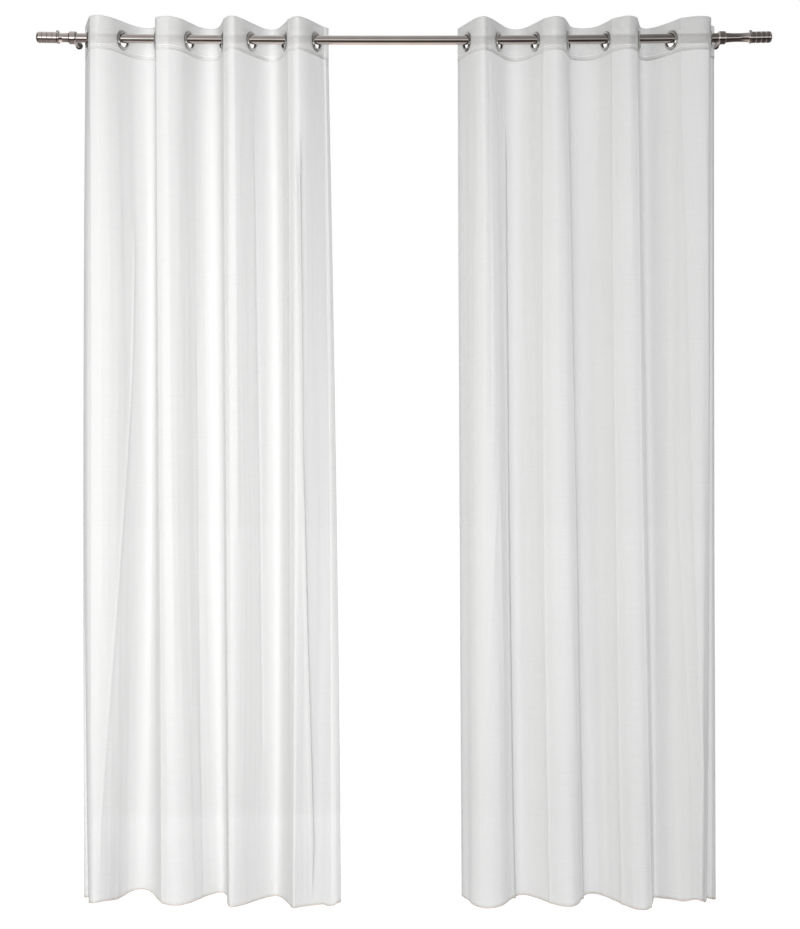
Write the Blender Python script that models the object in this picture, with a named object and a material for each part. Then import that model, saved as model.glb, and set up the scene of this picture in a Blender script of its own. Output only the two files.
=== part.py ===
"""Sheer voile curtain: two eyelet panels that hang from one metal rod on two brackets.

Frame, in metres: X runs along the rod to the right, Y runs from front to back, Z is up.
The origin is the centre of the left bracket plate's back face, at the height of the rod's axis.
"""

import math
from collections import namedtuple

import bmesh
import bpy
import numpy as np
from mathutils import Matrix, Vector

# ---------------------------------------------------------------- driving dimensions, metres
GAP = 0.0003                    # air left between two pieces that touch in the real thing

# Rod, finials and brackets
ROD_STANDOFF = 0.090            # the brackets' back faces to the rod's axis
BRACKET_SPAN = 1.790            # centre to centre of the two brackets
ROD_RADIUS = 0.0127
TUBE_THICKNESS = 0.0012
ROD_SAG = 0.0068                # how far the rod bends down half way between its brackets
ROD_PAST_BRACKET = 0.0110       # rod's end past each bracket's centre
NECK_LEFT = 0.0265              # length of each finial's neck, from the rod's end to its collar
NECK_RIGHT = 0.0640

# Cloth
PANEL_THICKNESS = 0.0015
HEADING_THICKNESS = 0.0020      # the band is folded double
HEADING_TOP = 0.0460            # above the rod's axis where the cloth hangs on it
HEADING_BOTTOM = -0.0450
MIDDLE_Z = -1.138               # height of the tables' middle section
HEM_Z = -2.381                  # mean height of the bottom hem
EYELET_PITCH = 0.171            # between eyelets, measured along the cloth
SIDE_MARGIN = 0.0615            # from the side hem to the first eyelet, along the cloth

# Eyelets
EYELET_OPENING = 0.0185         # radius of the hole that the rod goes through
EYELET_MOUTH = 0.0212           # radius where that hole flares out to the flange's crown
EYELET_RADIUS = 0.0272          # radius of the flanges
EYELET_THROAT = 0.0212          # radius of the groove's floor
EYELET_HALF_GROOVE = HEADING_THICKNESS / 2 + GAP
HEADING_HOLE = 0.0222           # radius of the hole cut in the heading
EYELET_DROP = 0.0052            # eyelet centre below the rod axis: it hangs on the rod's top
FLAT_AT_EYELET = 0.0285         # the cloth stays flat this far either side of an eyelet

# How the flat stretch at each station shortens down the drop
FLAT_AT_MIDDLE = 0.0140
FLAT_AT_HEM = 0.0100

# Each panel's folds, read along the cloth from its left side hem to its right one. A station is a
# side hem or an eyelet's line down the cloth. x runs along the rod from the left bracket, y from
# the rod's axis towards the back, and turn is the way that the cloth runs there, in degrees from
# +X towards the back. hem_drop lowers the bottom hem in the loop that follows the station.
Station = namedtuple(
    "Station",
    "rod_x rod_y rod_turn mid_x mid_y mid_turn hem_x hem_y hem_turn hem_drop",
)
LEFT_STATIONS = (
    Station(0.023, 0.058, -72, 0.018, 0.055, -70, 0.024, 0.042, -86, -0.002),
    Station(0.040, 0.000, -74, 0.034, 0.000, -74, 0.044, -0.002, -80, -0.010),
    Station(0.138, 0.000, 61, 0.147, 0.006, 62, 0.124, 0.020, 68, -0.011),
    Station(0.228, 0.000, -83, 0.232, 0.004, -78, 0.232, 0.012, -68, 0.002),
    Station(0.321, 0.000, 66, 0.326, 0.002, 64, 0.346, 0.010, 62, -0.001),
    Station(0.411, 0.000, -75, 0.418, 0.002, -80, 0.425, 0.006, -84, -0.002),
    Station(0.493, 0.000, 64, 0.501, -0.004, 60, 0.500, -0.012, 58, 0.002),
    Station(0.584, 0.000, -71, 0.592, -0.008, -74, 0.592, -0.018, -72, -0.004),
    Station(0.672, 0.000, 64, 0.684, -0.019, 50, 0.686, -0.041, 32, 0.009),
    Station(0.703, 0.051, 56, 0.724, 0.022, 46, 0.740, -0.017, 22, 0.000),
)
RIGHT_STATIONS = (
    Station(1.064, 0.057, -68, 1.068, 0.056, -68, 1.074, 0.049, -82, 0.000),
    Station(1.087, 0.000, -68, 1.090, -0.002, -70, 1.094, -0.010, -78, 0.003),
    Station(1.176, 0.000, 65, 1.190, 0.000, 74, 1.200, -0.012, 68, 0.000),
    Station(1.276, 0.000, -66, 1.280, 0.002, -64, 1.300, -0.004, -58, 0.001),
    Station(1.366, 0.000, 75, 1.386, 0.002, 78, 1.403, 0.004, 76, -0.003),
    Station(1.470, 0.000, -67, 1.476, 0.000, -64, 1.500, -0.014, -62, 0.004),
    Station(1.561, 0.000, 78, 1.579, -0.002, 80, 1.596, -0.024, 78, 0.008),
    Station(1.651, 0.000, -59, 1.660, 0.000, -58, 1.670, -0.004, -52, -0.020),
    Station(1.758, 0.000, 84, 1.756, 0.000, 80, 1.745, -0.010, 70, -0.004),
    Station(1.780, 0.055, 62, 1.779, 0.046, 56, 1.776, 0.012, 20, 0.000),
)

# How finely the cloth is cut into flat faces
LOOP_STEPS = 6
MARGIN_STEPS = 2
PANEL_ROWS = 9


# ---------------------------------------------------------------- scene and finishes
for stale in list(bpy.data.objects):
    bpy.data.objects.remove(stale, do_unlink=True)


def make_finish(name, colour, metallic, roughness):
    """A Principled material of one colour."""
    finish = bpy.data.materials.new(name)
    finish.use_nodes = True
    shader = finish.node_tree.nodes["Principled BSDF"]
    shader.inputs["Base Color"].default_value = (*colour, 1.0)
    shader.inputs["Metallic"].default_value = metallic
    shader.inputs["Roughness"].default_value = roughness
    return finish


VOILE = make_finish("voile", (0.88, 0.88, 0.87), 0.0, 0.85)
VOILE_DOUBLE = make_finish("voile_double", (0.84, 0.84, 0.83), 0.0, 0.85)
NICKEL = make_finish("nickel", (0.56, 0.52, 0.49), 1.0, 0.25)
EYELET_METAL = make_finish("eyelet_metal", (0.66, 0.65, 0.63), 1.0, 0.20)
DARK_NICKEL = make_finish("dark_nickel", (0.40, 0.36, 0.34), 1.0, 0.30)


def add_object(name, mesh, finish):
    """Link a mesh as a named object with one finish."""
    mesh.materials.clear()
    mesh.materials.append(finish)
    added = bpy.data.objects.new(name, mesh)
    bpy.context.scene.collection.objects.link(added)
    return added


# ---------------------------------------------------------------- the rod's bend
def rod_drop(x):
    """How far the rod's axis lies below its height at the brackets."""
    half = BRACKET_SPAN / 2
    return ROD_SAG * (1.0 - ((x - half) / half) ** 2)


def rod_slope(x):
    """The rod's slope at x, positive where it rises to the right."""
    half = BRACKET_SPAN / 2
    return 2 * ROD_SAG * (x - half) / half**2


# ---------------------------------------------------------------- cloth sections seen from above
def station_places(stations):
    """Where each station lies along the flat cloth, from the left side hem."""
    inner = [SIDE_MARGIN + EYELET_PITCH * i for i in range(len(stations) - 2)]
    return [0.0] + inner + [inner[-1] + SIDE_MARGIN]


def smooth_run(start, start_way, end, end_way, handle):
    """Points on a cubic that leaves start and reaches end along the given ways."""
    first = start + start_way * handle
    last = end - end_way * handle
    share = np.linspace(0.0, 1.0, 61)[:, None]
    rest = 1.0 - share
    return (rest**3 * start + 3 * rest**2 * share * first
            + 3 * rest * share**2 * last + share**3 * end)


def run_length(points):
    """Length of a chain of points."""
    return float(np.linalg.norm(np.diff(points, axis=0), axis=1).sum())


def loop_of_length(start, start_way, end, end_way, length):
    """The cubic between two stretches of cloth that uses up the cloth between them."""
    short, long = 0.0, 1.5 * length
    for _ in range(30):
        handle = (short + long) / 2
        points = smooth_run(start, start_way, end, end_way, handle)
        if run_length(points) < length:
            short = handle
        else:
            long = handle
    return points


class Section:
    """A panel seen from above at one height: a curve as long as the cloth is wide."""

    def __init__(self, stations, level, flat):
        places = station_places(stations)
        spots, ways = [], []
        for station in stations:
            x = getattr(station, level + "_x")
            y = getattr(station, level + "_y") - ROD_STANDOFF
            turn = math.radians(getattr(station, level + "_turn"))
            spots.append(np.array((x, y)))
            ways.append(np.array((math.cos(turn), math.sin(turn))))
        along, curve = [], []
        last = len(stations) - 1
        for i in range(last):
            flat_here = 0.0 if i == 0 else flat
            flat_next = 0.0 if i + 1 == last else flat
            start = spots[i] + ways[i] * flat_here
            end = spots[i + 1] - ways[i + 1] * flat_next
            length = places[i + 1] - places[i] - flat_here - flat_next
            points = loop_of_length(start, ways[i], end, ways[i + 1], length)
            steps = np.linalg.norm(np.diff(points, axis=0), axis=1)
            share = np.concatenate(([0.0], np.cumsum(steps))) / steps.sum()
            along.append(places[i] + flat_here + share * length)
            curve.append(points)
        self.along = np.concatenate(along)
        self.curve = np.concatenate(curve)

    def point(self, place):
        """The curve's point at one place along the cloth."""
        return np.array([np.interp(place, self.along, self.curve[:, k]) for k in (0, 1)])


class Panel:
    """One hung panel: its sections by the rod, half way down and at the hem."""

    def __init__(self, stations):
        self.stations = stations
        self.places = station_places(stations)
        self.width = self.places[-1]
        self.rod = Section(stations, "rod", FLAT_AT_EYELET)
        self.mid = Section(stations, "mid", FLAT_AT_MIDDLE)
        self.hem = Section(stations, "hem", FLAT_AT_HEM)

    def plan_point(self, place, z):
        """The cloth's middle surface from above, at a place along it and a height."""
        low, mid, top = HEM_Z, MIDDLE_Z, HEADING_BOTTOM
        z = max(min(z, top), low)
        by_rod = (z - mid) * (z - low) / ((top - mid) * (top - low))
        by_mid = (z - top) * (z - low) / ((mid - top) * (mid - low))
        by_hem = (z - top) * (z - mid) / ((low - top) * (low - mid))
        return (by_rod * self.rod.point(place) + by_mid * self.mid.point(place)
                + by_hem * self.hem.point(place))

    def hem_height(self, place):
        """Height of the bottom hem, lower or higher where a loop's table row says so."""
        height = HEM_Z
        for i in range(len(self.stations) - 1):
            start, end = self.places[i], self.places[i + 1]
            if start <= place <= end:
                swell = math.sin(math.pi * (place - start) / (end - start)) ** 2
                height -= self.stations[i].hem_drop * swell
        return height

    def place_point(self, place, z, offset):
        """A point of the solid: on the middle surface, moved across the cloth by offset.

        Heights are given as on a level rod. By the rod the cloth follows the rod's bend, and
        towards the hem it does so less and less.
        """
        step = 0.0005
        before = self.plan_point(max(place - step, 0.0), z)
        after = self.plan_point(min(place + step, self.width), z)
        way = (after - before) / np.linalg.norm(after - before)
        x, y = self.plan_point(place, z)
        bend = rod_drop(self.rod.point(place)[0]) * min(1.0, (z - HEM_Z) / -HEM_Z)
        return Vector((x + way[1] * offset, y - way[0] * offset, z - bend))

    def columns(self):
        """Places along the cloth where it is cut into faces, flat stretches kept whole."""
        cuts = [0.0]
        last = len(self.places) - 1
        for i in range(last):
            start = self.places[i] + (0.0 if i == 0 else FLAT_AT_EYELET)
            end = self.places[i + 1] - (0.0 if i + 1 == last else FLAT_AT_EYELET)
            steps = MARGIN_STEPS if i == 0 or i + 1 == last else LOOP_STEPS
            cuts += [start + (end - start) * j / steps for j in range(0 if i else 1, steps + 1)]
        return cuts


# ---------------------------------------------------------------- solids of cloth
def solid_from_flat(name, flat_points, flat_faces, thickness, place, finish):
    """Give a flat drawing of cloth its folds and thickness and close its edges."""
    mesh = bpy.data.meshes.new(name)
    shape = bmesh.new()
    front = [shape.verts.new(place(u, v, thickness / 2)) for u, v in flat_points]
    back = [shape.verts.new(place(u, v, -thickness / 2)) for u, v in flat_points]
    used = {}
    for face in flat_faces:
        shape.faces.new([front[i] for i in face])
        shape.faces.new([back[i] for i in reversed(face)])
        for a, b in zip(face, face[1:] + face[:1]):
            used[(a, b)] = True
    for a, b in used:
        if (b, a) not in used:
            shape.faces.new((front[b], front[a], back[a], back[b]))
    shape.normal_update()
    shape.to_mesh(mesh)
    shape.free()
    mesh.shade_smooth()
    mesh.set_sharp_from_angle(angle=math.radians(50))
    return add_object(name, mesh, finish)


def make_voile(side, panel):
    """The sheer panel below the heading, down to its bottom hem."""
    columns = panel.columns()
    centres = panel.places[1:-1]
    columns = sorted(columns + centres)
    rows = [(row / PANEL_ROWS) for row in range(PANEL_ROWS + 1)]
    points = [(u, v) for v in rows for u in columns]
    wide = len(columns)
    faces = []
    for row in range(PANEL_ROWS):
        for column in range(wide - 1):
            corner = row * wide + column
            faces.append([corner, corner + wide, corner + wide + 1, corner + 1])
    top = HEADING_BOTTOM - GAP

    def place(u, v, offset):
        return panel.place_point(u, top + v * (panel.hem_height(u) - top), offset)

    return solid_from_flat(f"voile_{side}", points, faces, PANEL_THICKNESS, place, VOILE)


def make_heading(side, panel):
    """The double band along the top, with a round hole for each eyelet."""
    centre_z = -EYELET_DROP
    rows = [HEADING_BOTTOM, centre_z - 0.021, centre_z, centre_z + 0.021, HEADING_TOP]
    points, faces, index = [], [], {}

    def corner(u, v):
        key = (round(u, 6), round(v, 6))
        if key not in index:
            index[key] = len(points)
            points.append((u, v))
        return index[key]

    cuts = panel.columns()
    centres = panel.places[1:-1]
    for left, right in zip(cuts, cuts[1:]):
        if any(left < centre < right for centre in centres):
            continue
        for low, high in zip(rows, rows[1:]):
            faces.append([corner(left, high), corner(left, low), corner(right, low),
                          corner(right, high)])
    for centre in centres:
        steps = [centre + FLAT_AT_EYELET * k / 2 for k in (-2, -1, 0, 1, 2)]
        frame = [corner(u, rows[0]) for u in steps]
        frame += [corner(steps[-1], v) for v in rows[1:]]
        frame += [corner(u, rows[-1]) for u in steps[-2::-1]]
        frame += [corner(steps[0], v) for v in rows[-2:0:-1]]
        count = len(frame)
        hole = []
        for k in range(count):
            angle = 2 * math.pi * k / count - 0.75 * math.pi
            hole.append(corner(centre + HEADING_HOLE * math.cos(angle),
                               centre_z + HEADING_HOLE * math.sin(angle)))
        for k in range(count):
            after = (k + 1) % count
            faces.append([frame[k], frame[after], hole[after], hole[k]])
    return solid_from_flat(f"heading_{side}", points, faces, HEADING_THICKNESS,
                           panel.place_point, VOILE_DOUBLE)


# ---------------------------------------------------------------- turned pieces
def turned_mesh(name, profile, steps, closed):
    """Turn (radius, length) points about the Z axis. A closed profile makes a ring."""
    mesh = bpy.data.meshes.new(name)
    shape = bmesh.new()
    rings = []
    for radius, length in profile:
        if radius == 0.0:
            rings.append([shape.verts.new((0.0, 0.0, length))])
            continue
        ring = []
        for k in range(steps):
            angle = 2 * math.pi * k / steps
            ring.append(shape.verts.new((radius * math.cos(angle), radius * math.sin(angle),
                                         length)))
        rings.append(ring)
    pairs = list(zip(rings, rings[1:]))
    if closed:
        pairs.append((rings[-1], rings[0]))
    for lower, upper in pairs:
        for k in range(steps):
            after = (k + 1) % steps
            corners = [lower[k % len(lower)], lower[after % len(lower)],
                       upper[after % len(upper)], upper[k % len(upper)]]
            shape.faces.new(list(dict.fromkeys(corners)))
    bmesh.ops.recalc_face_normals(shape, faces=shape.faces)
    shape.to_mesh(mesh)
    shape.free()
    mesh.shade_smooth()
    mesh.set_sharp_from_angle(angle=math.radians(35))
    return mesh


def make_eyelets(side, panel):
    """One metal eyelet for each hole, its flanges gripping both faces of the heading."""
    groove = EYELET_HALF_GROOVE
    half = [(EYELET_THROAT, groove), (EYELET_RADIUS, groove), (EYELET_MOUTH, groove + 0.0020),
            (EYELET_OPENING, groove - 0.0002)]
    mirrored = [(radius, -length) for radius, length in reversed(half)]
    mesh = turned_mesh("eyelet", half + mirrored, 16, closed=True)
    for number, station in enumerate(panel.stations[1:-1], start=1):
        eyelet = add_object(f"eyelet_{side}_{number}", mesh, EYELET_METAL)
        height = -EYELET_DROP - rod_drop(station.rod_x)
        spot = (station.rod_x, station.rod_y - ROD_STANDOFF, height)
        stand = Matrix.Rotation(math.radians(90), 4, "X")
        turn = Matrix.Rotation(math.radians(station.rod_turn), 4, "Z")
        eyelet.matrix_world = Matrix.Translation(spot) @ turn @ stand


def along_rod(x, way):
    """Lay a piece turned about Z along the rod, its length running the given way."""
    lay = Matrix.Rotation(math.radians(90 * way) - rod_slope(x), 4, "Y")
    return Matrix.Translation((x, -ROD_STANDOFF, -rod_drop(x))) @ lay


def make_rod():
    """A round tube, open at both ends, a little bent by the cloth's weight."""
    sides, parts = 24, 10
    inner = ROD_RADIUS - TUBE_THICKNESS
    mesh = bpy.data.meshes.new("rod")
    shape = bmesh.new()
    outside, inside = [], []
    for part in range(parts + 1):
        x = -ROD_PAST_BRACKET + (BRACKET_SPAN + 2 * ROD_PAST_BRACKET) * part / parts
        for radius, rings in ((ROD_RADIUS, outside), (inner, inside)):
            ring = []
            for k in range(sides):
                angle = 2 * math.pi * k / sides
                ring.append(shape.verts.new((x, radius * math.cos(angle) - ROD_STANDOFF,
                                             radius * math.sin(angle) - rod_drop(x))))
            rings.append(ring)
    bands = list(zip(outside, outside[1:])) + list(zip(inside, inside[1:]))
    bands += [(outside[0], inside[0]), (outside[-1], inside[-1])]
    for one, other in bands:
        for k in range(sides):
            after = (k + 1) % sides
            shape.faces.new((one[k], one[after], other[after], other[k]))
    bmesh.ops.recalc_face_normals(shape, faces=shape.faces)
    shape.to_mesh(mesh)
    shape.free()
    mesh.shade_smooth()
    mesh.set_sharp_from_angle(angle=math.radians(40))
    add_object("rod", mesh, NICKEL)


def make_finial(side, rod_end, way, neck, waist):
    """A neck, a raised collar and a grooved cap in one piece, its spigot inside the rod."""
    spigot, neck_end, collar, cap, groove_depth = 0.0107, 0.0132, 0.0172, 0.0154, 0.0011
    profile = [(0.0, -0.022), (spigot, -0.022), (spigot, 2 * GAP)]
    for share in (0.0, 0.25, 0.5, 0.75, 1.0):
        radius = waist + (neck_end - waist) * (2 * share - 1) ** 2
        profile.append((radius, 2 * GAP + (neck - 2 * GAP) * share))
    profile += [(collar - 0.001, neck), (collar, neck + 0.0016), (collar, neck + 0.0040),
                (cap, neck + 0.0060)]
    for groove in (0.0180, 0.0320, 0.0460):
        profile += [(cap, neck + groove - 0.0012), (cap - groove_depth, neck + groove),
                    (cap, neck + groove + 0.0012)]
    end, nose_long, nose_deep = neck + 0.0635, 0.0080, 0.0095
    for degrees in (0, 30, 60, 90):
        angle = math.radians(degrees)
        profile.append((cap - nose_deep * (1 - math.cos(angle)),
                        end - nose_long * (1 - math.sin(angle))))
    profile.append((0.0, end))
    mesh = turned_mesh(f"finial_{side}", profile, 24, closed=False)
    finial = add_object(f"finial_{side}", mesh, DARK_NICKEL)
    finial.matrix_world = along_rod(rod_end, way)


# ---------------------------------------------------------------- brackets
PLATE_RADIUS = 0.0100
PLATE_THICKNESS = 0.0040
ARM_RADIUS_AT_RING = 0.0105
ARM_RADIUS_AT_PLATE = 0.0072
RING_RADIUS = 0.0178
RING_BORE = ROD_RADIUS + 2 * GAP
RING_WIDTH = 0.0205


def join_shapes(target, helper, operation):
    """Add a helper to the target, or cut it away."""
    helper.hide_render = True
    helper.display_type = "WIRE"
    step = target.modifiers.new(helper.name, "BOOLEAN")
    step.operation = operation
    step.solver = "EXACT"
    step.object = helper


def make_bracket(side, x):
    """A tapered round arm with a small plate at its back, and a ring that holds the rod."""
    to_back = Matrix.Rotation(math.radians(-90), 4, "X")
    ring_side = -ROD_STANDOFF + RING_RADIUS
    arm = [(0.0, ring_side - 0.0045), (ARM_RADIUS_AT_RING, ring_side - 0.0045),
           (ARM_RADIUS_AT_RING, ring_side + 0.0015),
           (ARM_RADIUS_AT_PLATE, -PLATE_THICKNESS - 0.0020),
           (PLATE_RADIUS, -PLATE_THICKNESS), (PLATE_RADIUS, 0.0), (0.0, 0.0)]
    bracket = add_object(f"bracket_{side}",
                         turned_mesh(f"bracket_{side}", arm, 24, closed=False), DARK_NICKEL)
    bracket.matrix_world = Matrix.Translation((x, 0.0, 0.0)) @ to_back

    half = RING_WIDTH / 2
    ring = [(0.0, -half), (RING_RADIUS - 0.002, -half), (RING_RADIUS, -half + 0.003),
            (RING_RADIUS, half - 0.003), (RING_RADIUS - 0.002, half), (0.0, half)]
    ring = add_object(f"ring_{side}", turned_mesh(f"ring_{side}", ring, 24, closed=False),
                      DARK_NICKEL)
    ring.matrix_world = along_rod(x, 1)
    join_shapes(bracket, ring, "UNION")

    bore = [(0.0, -0.04), (RING_BORE, -0.04), (RING_BORE, 0.04), (0.0, 0.04)]
    bore = add_object(f"bore_{side}", turned_mesh(f"bore_{side}", bore, 24, closed=False),
                      DARK_NICKEL)
    bore.matrix_world = along_rod(x, 1)
    join_shapes(bracket, bore, "DIFFERENCE")


# ---------------------------------------------------------------- the whole curtain
make_rod()
make_finial("left", -ROD_PAST_BRACKET, -1, NECK_LEFT, 0.0124)
make_finial("right", BRACKET_SPAN + ROD_PAST_BRACKET, 1, NECK_RIGHT, 0.0116)
make_bracket("left", 0.0)
make_bracket("right", BRACKET_SPAN)
for side_name, side_stations in (("left", LEFT_STATIONS), ("right", RIGHT_STATIONS)):
    hung = Panel(side_stations)
    make_voile(side_name, hung)
    make_heading(side_name, hung)
    make_eyelets(side_name, hung)
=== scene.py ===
import bmesh
import bpy
import math
import numpy as np
from mathutils import Matrix, Vector


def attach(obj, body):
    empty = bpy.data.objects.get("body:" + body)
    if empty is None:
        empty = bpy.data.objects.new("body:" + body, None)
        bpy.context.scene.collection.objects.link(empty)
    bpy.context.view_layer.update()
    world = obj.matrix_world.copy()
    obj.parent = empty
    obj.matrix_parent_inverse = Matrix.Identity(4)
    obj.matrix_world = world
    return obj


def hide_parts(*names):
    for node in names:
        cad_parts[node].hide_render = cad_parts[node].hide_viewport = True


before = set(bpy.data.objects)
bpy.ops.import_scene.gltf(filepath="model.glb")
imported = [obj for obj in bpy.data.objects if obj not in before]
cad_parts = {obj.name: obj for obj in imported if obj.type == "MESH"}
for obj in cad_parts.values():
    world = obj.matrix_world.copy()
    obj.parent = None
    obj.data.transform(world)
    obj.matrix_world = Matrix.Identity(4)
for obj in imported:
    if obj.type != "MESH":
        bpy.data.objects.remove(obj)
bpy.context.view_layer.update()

# ------------------------------------------------------------------ camera, floor and light
# A studio with a plain pale floor. One tall soft lamp stands in front of the left panel and a
# second one behind it, so that the sheer cloth is lit from both sides, less to the right.
CAMERA_TO_ROD = 4.5
HALF_HEIGHT_SEEN = 1.282
view = bpy.data.cameras.new("view")
camera = bpy.data.objects.new("view", view)
bpy.context.scene.collection.objects.link(camera)
camera.location = (0.9025, -4.590, -1.1777)
camera.rotation_euler = (math.radians(90.0), 0.0, 0.0)
view.sensor_fit = "VERTICAL"
view.angle = 2.0 * math.atan(HALF_HEIGHT_SEEN / CAMERA_TO_ROD)
view.clip_end = 100.0
bpy.context.scene.camera = camera
bpy.context.scene.view_settings.view_transform = "Standard"

bpy.ops.object.select_all(action="DESELECT")
bpy.ops.mesh.primitive_circle_add(vertices=96, radius=30.0, fill_type="NGON",
                                  location=(0.9, 0.0, -2.480))
floor = bpy.context.active_object
floor.name = "floor"
floor_paint = bpy.data.materials.new("floor_paint")
floor_paint.use_nodes = True
paint = floor_paint.node_tree.nodes["Principled BSDF"]
paint.inputs["Base Color"].default_value = (0.10, 0.10, 0.10, 1.0)
paint.inputs["Roughness"].default_value = 0.9
paint.inputs["Emission Color"].default_value = (1.0, 1.0, 1.0, 1.0)
paint.inputs["Emission Strength"].default_value = 0.97
floor.data.materials.append(floor_paint)
floor.visible_diffuse = False
floor.visible_glossy = False


def soft_lamp(name, place, aim, width, height, watts, colour):
    """A wide area lamp that the camera doesn't see."""
    lamp = bpy.data.lights.new(name, "AREA")
    lamp.shape = "RECTANGLE"
    lamp.size, lamp.size_y = width, height
    lamp.energy = watts
    lamp.color = colour
    stand = bpy.data.objects.new(name, lamp)
    bpy.context.scene.collection.objects.link(stand)
    stand.location = place
    way = Vector(aim) - Vector(place)
    stand.rotation_euler = way.to_track_quat("-Z", "Y").to_euler()
    stand.visible_camera = False
    stand.visible_glossy = False
    return stand


soft_lamp("lamp_in_front", place=(0.1, -1.9, -1.05), aim=(0.5, -0.1, -1.15),
          width=1.3, height=2.8, watts=38.5, colour=(1.0, 0.99, 0.97))
soft_lamp("lamp_behind", place=(0.4, 1.4, -1.05), aim=(0.5, 0.0, -1.15),
          width=1.3, height=2.8, watts=25.0, colour=(0.98, 0.99, 1.0))

studio = bpy.data.worlds.new("studio")
bpy.context.scene.world = studio
studio.use_nodes = True
sky = studio.node_tree
sky.nodes.clear()


def even_light(colour, strength):
    """An even light from all round."""
    light = sky.nodes.new("ShaderNodeBackground")
    light.inputs["Color"].default_value = (*colour, 1.0)
    light.inputs["Strength"].default_value = strength
    return light


def sky_maths(operation, *fixed):
    """A sum on the way that a mirrored ray runs. The fixed values follow its first input."""
    made = sky.nodes.new("ShaderNodeMath")
    made.operation = operation
    for socket, value in zip(made.inputs[1:], fixed):
        socket.default_value = value
    return made


def colour_ramp(stops):
    """A colour ramp with the given stops, each a place and a colour or a grey level."""
    ramp = sky.nodes.new("ShaderNodeValToRGB")
    for number, (place, colour) in enumerate(stops):
        if number < 2:
            stop = ramp.color_ramp.elements[number]
            stop.position = place
        else:
            stop = ramp.color_ramp.elements.new(place)
        stop.color = (*colour, 1.0) if isinstance(colour, tuple) else (colour, colour, colour, 1.0)
    return ramp


# what the metal mirrors, from straight behind round by the floor and the front to straight
# above: in the middle of the rod, and nearer its two ends
MIDDLE_BANDS = (
    (0.000, (0.85, 0.82, 0.80)),
    (0.120, (1.10, 1.00, 0.95)),
    (0.225, (1.15, 1.00, 0.94)),
    (0.300, (0.50, 0.44, 0.41)),
    (0.352, (0.05, 0.04, 0.035)),
    (0.446, (0.06, 0.05, 0.045)),
    (0.468, (0.95, 0.92, 0.90)),
    (0.512, (1.00, 0.98, 0.97)),
    (0.540, (0.42, 0.42, 0.41)),
    (0.600, (0.36, 0.36, 0.36)),
    (0.760, (0.62, 0.61, 0.60)),
    (0.870, (1.00, 0.98, 0.97)),
)
END_BANDS = (
    (0.000, (0.60, 0.57, 0.55)),
    (0.120, (0.28, 0.25, 0.24)),
    (0.300, (0.22, 0.19, 0.18)),
    (0.355, (0.07, 0.06, 0.055)),
    (0.418, (0.07, 0.06, 0.055)),
    (0.438, (2.20, 2.17, 2.15)),
    (0.478, (2.20, 2.17, 2.15)),
    (0.500, (0.36, 0.35, 0.34)),
    (0.600, (0.38, 0.36, 0.35)),
    (0.760, (0.50, 0.48, 0.47)),
    (0.870, (0.80, 0.78, 0.77)),
)
# from left to right: how bright what it mirrors is, and how much of it is the second list
SIDE_LEVELS = ((0.00, 0.25), (0.14, 0.30), (0.26, 1.10), (0.40, 1.20), (0.50, 0.95),
               (0.565, 0.48), (0.60, 0.32), (0.72, 0.30), (0.84, 0.80), (1.00, 0.30))
END_SHARE = ((0.405, 1.0), (0.432, 0.0), (0.565, 0.0), (0.592, 1.0))

fill = even_light((0.97, 0.98, 1.0), 0.25)
backdrop = even_light((1.0, 1.0, 1.0), 1.0)
mirrored = sky.nodes.new("ShaderNodeBackground")
direction = sky.nodes.new("ShaderNodeTexCoord")
split = sky.nodes.new("ShaderNodeSeparateXYZ")
forward = sky_maths("MULTIPLY", -1.0)
round_x = sky_maths("ARCTAN2")
round_share = sky_maths("MULTIPLY_ADD", 0.5 / math.pi, 0.5)
side_share = sky_maths("MULTIPLY_ADD", 0.5, 0.5)
middle_colours, end_colours = colour_ramp(MIDDLE_BANDS), colour_ramp(END_BANDS)
side_levels, end_share = colour_ramp(SIDE_LEVELS), colour_ramp(END_SHARE)
both_colours = sky.nodes.new("ShaderNodeMix")
both_colours.data_type = "RGBA"
rays = sky.nodes.new("ShaderNodeLightPath")
mix_mirrored = sky.nodes.new("ShaderNodeMixShader")
mix_view = sky.nodes.new("ShaderNodeMixShader")
out = sky.nodes.new("ShaderNodeOutputWorld")
for a, b in (
    (direction.outputs["Generated"], split.inputs[0]),
    (split.outputs["Y"], forward.inputs[0]),
    (split.outputs["Z"], round_x.inputs[0]),
    (forward.outputs[0], round_x.inputs[1]),
    (round_x.outputs[0], round_share.inputs[0]),
    (round_share.outputs[0], middle_colours.inputs[0]),
    (round_share.outputs[0], end_colours.inputs[0]),
    (split.outputs["X"], side_share.inputs[0]),
    (side_share.outputs[0], side_levels.inputs[0]),
    (side_share.outputs[0], end_share.inputs[0]),
    (end_share.outputs["Color"], both_colours.inputs["Factor"]),
    (middle_colours.outputs["Color"], both_colours.inputs["A"]),
    (end_colours.outputs["Color"], both_colours.inputs["B"]),
    (both_colours.outputs["Result"], mirrored.inputs["Color"]),
    (side_levels.outputs["Color"], mirrored.inputs["Strength"]),
    (rays.outputs["Is Glossy Ray"], mix_mirrored.inputs[0]),
    (fill.outputs[0], mix_mirrored.inputs[1]),
    (mirrored.outputs[0], mix_mirrored.inputs[2]),
    (rays.outputs["Is Camera Ray"], mix_view.inputs[0]),
    (mix_mirrored.outputs[0], mix_view.inputs[1]),
    (backdrop.outputs[0], mix_view.inputs[2]),
    (mix_view.outputs[0], out.inputs["Surface"]),
):
    sky.links.new(a, b)


# ------------------------------------------------------------------ curtain rod
# One steel tube of 25.4 mm, plated satin nickel. It rests in the two bracket rings and bends
# down a few millimetres between them under the cloth's weight.
ROD_STANDOFF = 0.090
BRACKET_SPAN = 1.790
ROD_RADIUS = 0.0127
ROD_SAG = 0.0068
ROD_PAST_BRACKET = 0.0110
TUBE_THICKNESS = 0.0012
LATHE_SIDES = 64


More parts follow.
